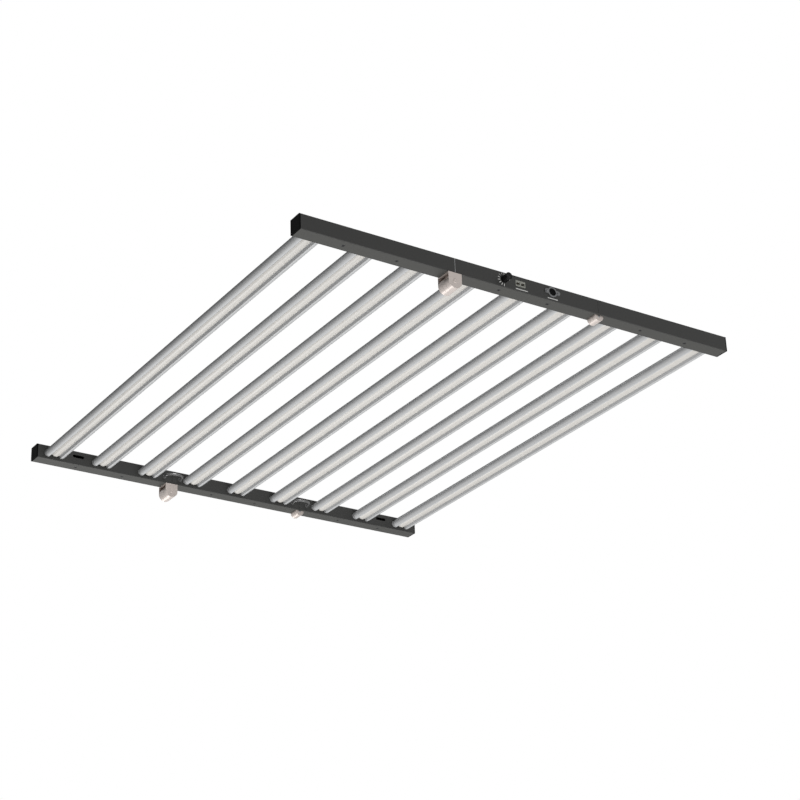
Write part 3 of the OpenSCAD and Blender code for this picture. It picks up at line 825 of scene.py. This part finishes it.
@dataclass
class LightBars:
    """Nine light bars: finishes, and the chips on the boards."""

    count: int = 9
    per_panel: int = 3
    chip: Point = (3.0 * MM, 2.8 * MM, 0.7 * MM)
    rim: float = 0.4 * MM
    dish: float = 0.15 * MM
    least_window: float = 2.0 * MM * MM
    rows: int = 2
    chip_step: float = 9.25 * MM
    chip_count: int = 127
    row_step: float = 11.0 * MM
    red_step: float = 37.0 * MM
    red_count: int = 31

    def dress(self) -> None:
        """Gives housings, boards and lenses their finishes."""
        dress(ALLOY, *(f"housing_{i + 1}" for i in range(self.count)))
        for panel in Panel:
            dress(BOARD, f"led_boards_{panel.suffix}")
            dress(LENS, f"lenses_{panel.suffix}")

    def emitter(self, name: str, x: float, y: float, z: float) -> bpy.types.Object:
        """Models one chip: a case with a dished window underneath.

        Args:
            name: The piece's name.
            x: Its middle across the bar.
            y: Its middle along the bar.
            z: The board's underside.

        Returns:
            The chip.
        """
        piece = Bench.block(name, self.chip, (x, y, z - self.chip[2] / 2))
        Bench.step(piece, "z", -1, self.rim, (0, 0, self.dish))
        window = facing("z", -1)
        for face in piece.data.polygons:
            face.material_index = int(window(face.center, face.normal) and face.area > self.least_window)
        return piece

    def chips(self, panel: Panel) -> None:
        """Sets two rows of chips and a sparse red row on a panel's boards.

        Args:
            panel: The panel.
        """
        low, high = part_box(f"led_boards_{panel.suffix}")
        first = (panel.middle - 1) * BAR_PITCH
        start = (low.y + high.y) / 2 - (self.chip_count - 1) * self.chip_step / 2
        white = self.emitter(f"chips_{panel.suffix}", first - self.row_step / 2, start, low.z)
        Bench.row(white, self.chip_count, (0, self.chip_step, 0))
        Bench.row(white, self.rows, (self.row_step, 0, 0))
        start = (low.y + high.y) / 2 - (self.red_count - 1) * self.red_step / 2
        red = self.emitter(f"red_chips_{panel.suffix}", first, start, low.z)
        Bench.row(red, self.red_count, (0, self.red_step, 0))
        for piece, window in ((white, PHOSPHOR), (red, RED_CHIP)):
            Bench.row(piece, self.per_panel, (BAR_PITCH, 0, 0))
            paint(piece, CHIP_CASE, window)
            placed(piece, panel.body)

    def build(self) -> None:
        """Dresses the bars and adds their chips."""
        self.dress()
        for panel in Panel:
            self.chips(panel)


@dataclass
class Rails:
    """Two box rails in six lengths, with covers, end caps, cover screws and bare cut edges."""

    height: float = 35.0 * MM
    gap: float = 0.25 * MM
    head_r: float = 3.55 * MM
    head_t: float = 1.2 * MM
    head_round: float = 0.2 * MM
    shank_r: float = 1.95 * MM
    shank: float = 5.8 * MM
    socket_r: float = 2.0 * MM
    socket_t: float = 0.9 * MM
    edge_w: float = 0.7 * MM
    edge_t: float = 0.12 * MM
    edge_short: float = 2.4 * MM
    edge_round: float = 0.04 * MM

    def dress(self) -> None:
        """Gives rails, covers, caps and what is inside them their finishes."""
        for panel in Panel:
            dress(RAIL_PAINT, f"rail_near_{panel.suffix}", f"rail_far_{panel.suffix}")
            dress(COVER_PAINT, f"covers_{panel.suffix}")
            dress(PLAIN_ALLOY, f"cover_blocks_{panel.suffix}")
            dress(BRIGHT_STEEL, f"inner_screws_{panel.suffix}")
            dress(RUBBER_PAINTED_SHEEN, f"grommets_{panel.suffix}")
            dress(DARK_STEEL, f"cover_screws_{panel.suffix}")
        dress(CAP_PLASTIC, "end_caps_left", "end_caps_right")
        dress(PLAIN_ALLOY, "driver")
        dress(RUBBER_PAINTED_SHEEN, "feed_cable", "harness_left", "harness_right", "jumper_left", "jumper_right")

    def screw(self, name: str) -> bpy.types.Object:
        """Models a flat-headed socket screw at the origin, head down.

        Args:
            name: The piece's name.

        Returns:
            The screw, with its head's face at height 0.
        """
        piece = Bench.rod(name, self.head_r, self.head_t, (0, 0, self.head_t / 2), "Z")
        Bench.step(piece, "z", 1, self.head_r - self.shank_r, (0, 0, self.shank))
        Bench.soften(piece, self.head_round)
        Bench.cut(piece, Bench.rod("hex_tool", self.socket_r, 2 * self.socket_t, (0, 0, 0), "Z", sides=6))
        Bench.smooth(piece)
        return piece

    def screws(self, panel: Panel) -> None:
        """Sets a panel's four cover screws, midway between its bars.

        Args:
            panel: The panel.
        """
        piece = self.screw(f"socket_screws_{panel.suffix}")
        middle = (RAIL_INNER + RAIL_OUTER) / 2
        spots = [
            Matrix.Translation(((panel.middle + step / 2) * BAR_PITCH, side * middle, RAIL_BOTTOM))
            for step in (-1, 1)
            for side in (-1, 1)
        ]
        piece = Bench.copies(piece, spots)
        paint(piece, DARK_STEEL)
        placed(piece, panel.body, f"cover_screws_{panel.suffix}")

    def cut_edge(self, name: str, x: float, body: str) -> None:
        """Adds the bare metal line along the cut of both rails at the left seam.

        Args:
            name: The piece's name.
            x: The line's middle.
            body: The body of the rails that it belongs to.
        """
        size = (self.edge_w, self.edge_t, self.height - self.edge_short)
        centre = (x, -RAIL_OUTER - self.edge_t / 2, RAIL_BOTTOM + self.height / 2)
        piece = Bench.block(name, size, centre)
        Bench.soften(piece, self.edge_round, 1)
        flip = Matrix.Scale(-1, 4, Vector((0, 1, 0)))
        piece = Bench.copies(piece, (Matrix.Identity(4), flip))
        Bench.open(piece)
        bpy.ops.mesh.select_all(action="SELECT")
        bpy.ops.mesh.normals_make_consistent(inside=False)
        Bench.close()
        paint(piece, BARE_EDGE)
        placed(piece, body)

    def build(self) -> None:
        """Dresses the rails and adds screws and edges."""
        self.dress()
        for panel in Panel:
            self.screws(panel)
        self.cut_edge("seam_edge_centre", LEFT_SEAM + self.gap + self.edge_w / 2, Panel.CENTRE.body)


@dataclass
class Hinges:
    """Two deep and two shallow fold hinges."""

    left_pivot: float = -185.5 * MM
    drop: float = 54.5 * MM
    cheek: float = 1.5 * MM
    pin_r: float = 3.4 * MM
    neck: float = 0.01 * MM
    head_r: float = 4.2 * MM
    head_t: float = 0.98 * MM
    head_round: float = 0.25 * MM
    dimple_r: float = 1.5 * MM
    dimple_t: float = 0.6 * MM

    def dress(self) -> None:
        """Gives the leaves and pins their finishes."""
        dress(NICKEL, "big_hinge_left_leaves", "big_hinge_centre_leaves")
        dress(NICKEL, "small_hinge_centre_leaves", "small_hinge_right_leaves")
        dress(BRIGHT_STEEL, "small_hinge_pins", "big_hinge_pins")

    def pins(self) -> None:
        """Sets a riveted pin, with dimpled heads, through each deep hinge."""
        span = RAIL_OUTER - RAIL_INNER + 2 * self.cheek
        middle = (RAIL_INNER + RAIL_OUTER) / 2
        flare = self.head_r / self.pin_r
        piece = Bench.rod("hinge_rivets", self.pin_r, span, (0, 0, 0))
        Bench.open(piece)
        for side in (-1, 1):
            Bench.pick(piece, facing("y", side))
            Bench.push((0, side * self.neck, 0))
            bpy.ops.transform.resize(value=(flare, 1, flare))
            Bench.push((0, side * self.head_t, 0))
            bpy.ops.mesh.inset(thickness=self.head_r - self.dimple_r)
            Bench.push((0, -side * self.dimple_t, 0))
        Bench.close()
        Bench.soften(piece, self.head_round)
        Bench.smooth(piece)
        spots = [Matrix.Translation((self.left_pivot, side * middle, -self.drop)) for side in (-1, 1)]
        piece = Bench.copies(piece, spots)
        paint(piece, NICKEL)
        placed(piece, Panel.CENTRE.body, "big_hinge_pins")

    def build(self) -> None:
        """Dresses the hinges and adds the pins."""
        self.dress()
        self.pins()


@dataclass
class ControlFace:
    """Dimmer, twin jack and power inlet on the near rail's face."""

    face: float = -RAIL_OUTER
    control_z: float = RAIL_BOTTOM + 18.2 * MM
    knob_x: float = -60.0 * MM
    knob_r: float = 8.0 * MM
    knob_len: float = 18.0 * MM
    knob_gap: float = 0.6 * MM
    knob_round: float = 0.12 * MM
    crown_in: float = 0.9 * MM
    crown_t: float = 0.5 * MM
    dish_in: float = 1.0 * MM
    dish_t: float = 0.4 * MM
    hollow_r: float = 5.4 * MM
    hollow_t: float = 3.0 * MM
    flutes: int = 36
    flute_in: float = 0.08 * MM
    flute_t: float = 0.35 * MM
    skirt: float = 0.95
    pointer: Point = (0.9 * MM, 0.5 * MM, 4.4 * MM)
    pointer_down: float = 3.6 * MM
    pointer_out: float = 0.15 * MM
    pointer_round: float = 0.2 * MM
    tick_in: float = 9.9 * MM
    tick_out: float = 15.8 * MM
    tick_w: float = 1.7 * MM
    tick_count: int = 11
    tick_turn: float = math.radians(26)
    ink: float = 0.1 * MM
    ink_round: float = 0.03 * MM
    port_x: float = -18.5 * MM
    jack_off: float = 6.25 * MM
    jack: Point = (9.9 * MM, 10.9 * MM, 8.5 * MM)
    jack_wall: float = 0.5 * MM
    jack_floor: float = 1.0 * MM
    proud: float = 0.7 * MM
    wire: Point = (0.4 * MM, 6.0 * MM, 0.35 * MM)
    wire_at: Point = (-3.55 * MM, 7.4 * MM, 3.2 * MM)
    wire_bend: Point = (0.0, -1.6 * MM, -1.4 * MM)
    wire_step: float = 1.016 * MM
    wire_count: int = 8
    inlet_x: float = 64.5 * MM
    inlet_z: float = RAIL_BOTTOM + 20.5 * MM
    flange_t: float = 2.0 * MM
    sleeve_at: float = 4.6 * MM
    sleeve_r: float = 1.25 * MM
    sleeve_wall: float = 0.35 * MM
    sleeve_len: float = 4.0 * MM
    sleeve_bore: float = 3.0 * MM
    sleeve_in: float = 3.6 * MM
    sleeve_turns: Sequence[int] = (45, 135, 225, 315)
    screw_at: float = 14.5 * MM
    screw_r: float = 2.7 * MM
    screw_t: float = 1.5 * MM
    screw_round: float = 0.4 * MM
    shank_r: float = 1.45 * MM
    shank: float = 6.0 * MM
    cross: Point = (3.0 * MM, 1.4 * MM, 0.6 * MM)
    label_z: float = RAIL_BOTTOM + 5.0 * MM
    label_h: float = 2.1 * MM
    labels: Sequence[tuple[float, float]] = ((-31.0 * MM, 0.0 * MM), (52.0 * MM, 78.0 * MM))

    @property
    def body(self) -> str:
        """The body that the control face belongs to."""
        return Panel.CENTRE.body

    def dress(self) -> None:
        """Gives the control nodes their finishes."""
        dress(CIRCUIT, "control_board")
        dress(BRIGHT_STEEL, "pot_nut", "pot_shaft", "inlet_screws")
        dress(INLET_METAL, "potentiometer", "inlet_flange")
        dress(KNOB_PLASTIC, "dimmer_knob")
        dress(PORT_PLASTIC, "port_block")
        dress(INSERT_PLASTIC, "inlet_insert")

    def knob(self) -> None:
        """Models the fluted knob, hollow at the back, with an inlaid pointer."""
        back = self.face - self.knob_gap
        front = back - self.knob_len
        centre = Vector((self.knob_x, (front + back) / 2, self.control_z))
        piece = Bench.rod("fluted_knob", self.knob_r, self.knob_len, centre, sides=2 * self.flutes)
        Bench.open(piece)
        Bench.pick(piece, facing("y", -1))
        bpy.ops.mesh.inset(thickness=self.crown_in)
        Bench.push((0, -self.crown_t, 0))
        bpy.ops.mesh.inset(thickness=self.dish_in)
        Bench.push((0, self.dish_t, 0))
        Bench.pick(piece, facing("y", 1))
        bpy.ops.mesh.inset(thickness=self.knob_r - self.hollow_r)
        Bench.push((0, -self.hollow_t, 0))
        step = math.pi / self.flutes

        def fluted(middle: Vector, normal: Vector) -> bool:
            """Every other face around the knob's outside."""
            out = middle - centre
            outside = abs(normal.y) < 1 - FACING and math.hypot(out.x, out.z) > self.skirt * self.knob_r
            return outside and round(math.atan2(out.z, out.x) / step - 0.5) % 2 == 0

        Bench.pick(piece, fluted)
        bpy.ops.mesh.inset(use_individual=True, thickness=self.flute_in, depth=-self.flute_t)
        Bench.close()
        Bench.soften(piece, self.knob_round, angle=50)
        Bench.smooth(piece)
        paint(piece, KNOB_PLASTIC)
        placed(piece, "dimmer", "dimmer_knob")
        spot = (self.knob_x, front - self.pointer_out, self.control_z - self.pointer_down)
        mark = Bench.block("knob_pointer", self.pointer, spot)
        Bench.soften(mark, self.pointer_round, 3)
        Bench.smooth(mark)
        paint(mark, POINTER)
        placed(mark, "dimmer")

    def print_marks(self) -> None:
        """Prints the dial's ticks and the plain strokes under the port and the inlet."""
        size = (self.tick_w, self.ink, self.tick_out - self.tick_in)
        tick = Bench.block("dial_ticks", size, (0, 0, (self.tick_in + self.tick_out) / 2))
        Bench.soften(tick, self.ink_round, 1)
        place = Matrix.Translation((self.knob_x, self.face - self.ink / 2, self.control_z))
        turns = [math.pi + i * self.tick_turn for i in range(self.tick_count)]
        tick = Bench.copies(tick, [place @ Matrix.Rotation(turn, 4, "Y") for turn in turns])
        paint(tick, PRINT)
        placed(tick, self.body)
        for number, (start, stop) in enumerate(self.labels, 1):
            size = (stop - start, self.ink, self.label_h)
            spot = ((start + stop) / 2, self.face - self.ink / 2, self.label_z)
            stroke = Bench.block(f"printed_stroke_{number}", size, spot)
            Bench.soften(stroke, self.ink_round, 1)
            paint(stroke, PRINT)
            placed(stroke, self.body)

    def jacks(self) -> None:
        """Lines both jacks in grey and sets eight bent contacts in each."""
        mouth = Vector((0, self.face - self.proud, self.control_z))
        liner = Bench.block("jack_liners", self.jack, mouth + Vector((0, self.jack[1] / 2, 0)))
        Bench.step(liner, "y", -1, self.jack_wall, (0, self.jack[1] - self.jack_floor, 0))
        wire = Bench.block("jack_contacts", self.wire, mouth + Vector(self.wire_at))
        Bench.open(wire)
        Bench.pick(wire, facing("y", -1))
        Bench.push(self.wire_bend)
        Bench.close()
        Bench.row(wire, self.wire_count, (self.wire_step, 0, 0))
        sides = [Matrix.Translation((self.port_x + s * self.jack_off, 0, 0)) for s in (-1, 1)]
        for piece, finish in ((liner, JACK_GREY), (wire, BRONZE)):
            piece = Bench.copies(piece, sides)
            paint(piece, finish)
            placed(piece, self.body)

    def inlet(self) -> None:
        """Sets the inlet's contact sleeves and its two cross-head screws."""
        front = self.face - self.flange_t
        sleeve = Bench.rod("inlet_sleeves", self.sleeve_r, self.sleeve_len, (0, 0, 0), sides=20)
        Bench.step(sleeve, "y", -1, self.sleeve_wall, (0, self.sleeve_bore, 0))
        Bench.smooth(sleeve)
        spots = []
        for turn in self.sleeve_turns:
            x = self.inlet_x + self.sleeve_at * math.cos(math.radians(turn))
            z = self.inlet_z + self.sleeve_at * math.sin(math.radians(turn))
            spots.append(Matrix.Translation((x, front + self.sleeve_in, z)))
        sleeve = Bench.copies(sleeve, spots)
        paint(sleeve, DARK_STEEL)
        placed(sleeve, self.body)
        head = (0, front - self.screw_t / 2, self.inlet_z)
        screw = Bench.rod("inlet_cross_screws", self.screw_r, self.screw_t, head)
        Bench.step(screw, "y", 1, self.screw_r - self.shank_r, (0, self.shank, 0))
        Bench.soften(screw, self.screw_round, 3, 60)
        for arm in (self.cross, tuple(reversed(self.cross))):
            Bench.cut(screw, Bench.block("cross_tool", arm, (0, front - self.screw_t, self.inlet_z)))
        Bench.smooth(screw)
        sides = [Matrix.Translation((self.inlet_x + s * self.screw_at, 0, 0)) for s in (-1, 1)]
        screw = Bench.copies(screw, sides)
        paint(screw, INLET_METAL)
        placed(screw, self.body, "inlet_screws")

    def build(self) -> None:
        """Dresses the control nodes and adds the fine pieces."""
        self.dress()
        self.knob()
        self.print_marks()
        self.jacks()
        self.inlet()


@dataclass
class SeamCable:
    """A jumper cable that loops over one seam on the far rail's inner face.

    Attributes:
        panel: The folding panel at the seam.
        seam: The seam's place along the rail.
        back: How far back the cable's ends lie.
        height: Height of its ends.
        reach: Half the distance between its ends.
        radius: Its radius.
        roundness: Steps in each quarter of its outline.
        steps: Points between two knots of the route.
        loop: Knots from an end to the crown: share of the reach, millimetres off the face and of rise.
        crown: Millimetres off the face and of rise at the seam.
    """

    panel: Panel
    seam: float
    back: float = 618.6 * MM
    height: float = -20.0 * MM
    reach: float = 22.0 * MM
    radius: float = 2.6 * MM
    roundness: int = 6
    steps: int = 4
    loop: Sequence[Point] = (
        (1.0, 0.0, 0.0),
        (1.0, 4.0, 0.0),
        (1.0, 9.0, 0.2),
        (0.97, 14.0, 0.2),
        (0.88, 19.0, 0.0),
        (0.7, 23.5, -0.3),
        (0.45, 26.5, -0.6),
        (0.2, 28.0, -0.8),
    )
    crown: tuple[float, float] = (28.4, -0.9)

    def route(self) -> list[Vector]:
        """Draws a smooth curve through the knots of the loop.

        Returns:
            The centreline's points, from the folding panel to the centre panel.
        """
        side = math.copysign(1.0, self.seam)

        def spot(share: float, out: float, rise: float) -> Vector:
            """One point of the loop: share of the reach, distance from the face and rise."""
            return Vector((self.seam + share * self.reach, RAIL_INNER - out * MM, self.height + rise * MM))

        half = [spot(side * a, b, c) for a, b, c in self.loop]
        other = [spot(-side * a, b, c) for a, b, c in reversed(self.loop)]
        ends = [Vector((self.seam + s * self.reach, self.back, self.height)) for s in (side, -side)]
        knots = [ends[0], *half, spot(0.0, *self.crown), *other, ends[1]]
        line = []
        for i in range(len(knots) - 1):
            a, b, c, d = (knots[min(max(i + k, 0), len(knots) - 1)] for k in (-1, 0, 1, 2))
            for n in range(self.steps):
                t = n / self.steps
                bend = (2 * a - 5 * b + 4 * c - d) * t**2
                twist = (3 * b - a - 3 * c + d) * t**3
                line.append((2 * b + (c - a) * t + bend + twist) / 2)
        return [*line, knots[-1]]

    def build(self) -> None:
        line = self.route()
        curve = bpy.data.curves.new(f"seam_cable_{self.panel.suffix}", "CURVE")
        curve.dimensions = "3D"
        curve.bevel_depth = self.radius
        curve.bevel_resolution = self.roundness
        curve.use_fill_caps = True
        spline = curve.splines.new("POLY")
        spline.points.add(len(line) - 1)
        for knot, at in zip(spline.points, line):
            knot.co = (*at, 1.0)
        piece = bpy.data.objects.new(curve.name, curve)
        bpy.context.scene.collection.objects.link(piece)
        Bench.alone(piece)
        bpy.ops.object.convert(target="MESH")
        piece = bpy.context.view_layer.objects.active
        Bench.smooth(piece, 60)
        paint(piece, RUBBER_PAINTED_SHEEN)
        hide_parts(f"jumper_{self.panel.suffix}")
        Panel.CENTRE.body
        self.panel.body
        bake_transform(piece)
        length = sum((b - a).length for a, b in zip(line, line[1:]))
        LOG.info("%s: %.1f mm long", piece.name, length / MM)


@dataclass
class Studio:
    """Floor, soft lights, white world and the photograph's camera.

    Attributes:
        floor_patch: Size of the floor's lighter and darker patches.
        floor_white: Share of plain white in the floor where it is seen.
        ambient: Strength of the world where it lights.
        eye: The camera's place, and right, down and ahead its axes.
        lamps: Name, place, width and power of each lamp.
    """

    floor_z: float = -4.6
    floor_size: float = 60.0
    floor_dark: Colour = (0.80, 0.80, 0.79)
    floor_light: Colour = (0.84, 0.84, 0.83)
    floor_patch: float = 0.8
    floor_white: float = 0.8
    ambient: float = 0.07
    far_clip: float = 100.0
    focal: float = 88.041
    sensor: float = 36.0
    eye: Point = (-2.23343, -3.49031, -1.94925)
    right: Point = (0.8389425, -0.5431771, -0.0336759)
    down: Point = (0.2043589, 0.3717767, -0.9055493)
    ahead: Point = (0.5043936, 0.7528218, 0.4229024)
    lamps: Sequence[tuple[str, Point, float, float]] = (
        ("under_soft", (0.0, -0.8, -2.6), 2.2, 62.0),
        ("far_soft", (-0.25, 2.3, -2.05), 0.7, 30.0),
        ("front_soft", (0.6, -3.4, -0.6), 1.0, 24.0),
        ("top_soft", (0.35, 0.5, 3.0), 1.2, 100.0),
    )

    def floor(self) -> None:
        """Lays the pale floor, near white where it is seen."""
        bpy.ops.object.select_all(action="DESELECT")
        bpy.ops.mesh.primitive_plane_add(size=self.floor_size, location=(0, 0, self.floor_z))
        piece = Bench.added("studio_floor")
        made = bpy.data.materials.new("studio_floor")
        made.use_nodes = True
        graph = Graph(made.node_tree)
        pale = graph.mix(graph.noise(self.floor_patch), self.floor_dark, self.floor_light)
        matt = graph.node("ShaderNodeBsdfDiffuse", {}, {"Color": pale})
        glow = graph.node("ShaderNodeEmission", {}, {"Color": WHITE, "Strength": 1.0})
        share = graph.seen() * self.floor_white
        graph.output(graph.node("ShaderNodeMixShader", {}, {0: share, 1: matt, 2: glow}))
        made.cycles.emission_sampling = "NONE"
        piece.data.materials.append(made)

    def world(self) -> None:
        """Makes the world white where it is seen and soft where it lights."""
        world = bpy.data.worlds.new("studio")
        world.use_nodes = True
        bpy.context.scene.world = world
        graph = Graph(world.node_tree)
        seen = graph.seen()
        strength = seen + (1 - seen) * self.ambient
        sky = graph.node("ShaderNodeBackground", {}, {"Color": WHITE, "Strength": strength})
        graph.node_end("ShaderNodeOutputWorld", sky)

    def light(self) -> None:
        """Hangs the soft lamps, each turned to the object's middle."""
        for name, place, size, power in self.lamps:
            lamp = bpy.data.lights.new(name, "AREA")
            lamp.size = size
            lamp.energy = power
            holder = bpy.data.objects.new(name, lamp)
            holder.location = place
            holder.rotation_euler = (-Vector(place)).to_track_quat("-Z", "Y").to_euler()
            holder.visible_camera = False
            bpy.context.scene.collection.objects.link(holder)

    def camera(self) -> None:
        """Sets the camera at the photograph's viewpoint."""
        lens = bpy.data.cameras.new("photo_camera")
        lens.sensor_width = self.sensor
        lens.lens = self.focal
        lens.clip_end = self.far_clip
        holder = bpy.data.objects.new("photo_camera", lens)
        columns = (Vector(self.right), -Vector(self.down), -Vector(self.ahead))
        holder.matrix_world = Matrix.Translation(self.eye) @ Matrix(columns).transposed().to_4x4()
        bpy.context.scene.collection.objects.link(holder)
        bpy.context.scene.camera = holder

    def build(self) -> None:
        """Sets the whole studio."""
        bpy.context.scene.view_settings.view_transform = "Standard"
        self.camera()
        self.floor()
        self.world()
        self.light()


def main() -> None:
    """Builds the studio and each sub-assembly."""
    logging.basicConfig(level=logging.INFO, format="%(name)s %(message)s")
    Studio().build()
    SeamCable(Panel.LEFT, LEFT_SEAM).build()
    SeamCable(Panel.RIGHT, RIGHT_SEAM).build()
    LightBars().build()
    Rails().build()
    Hinges().build()
    ControlFace().build()


if __name__ == "__main__":
    main()
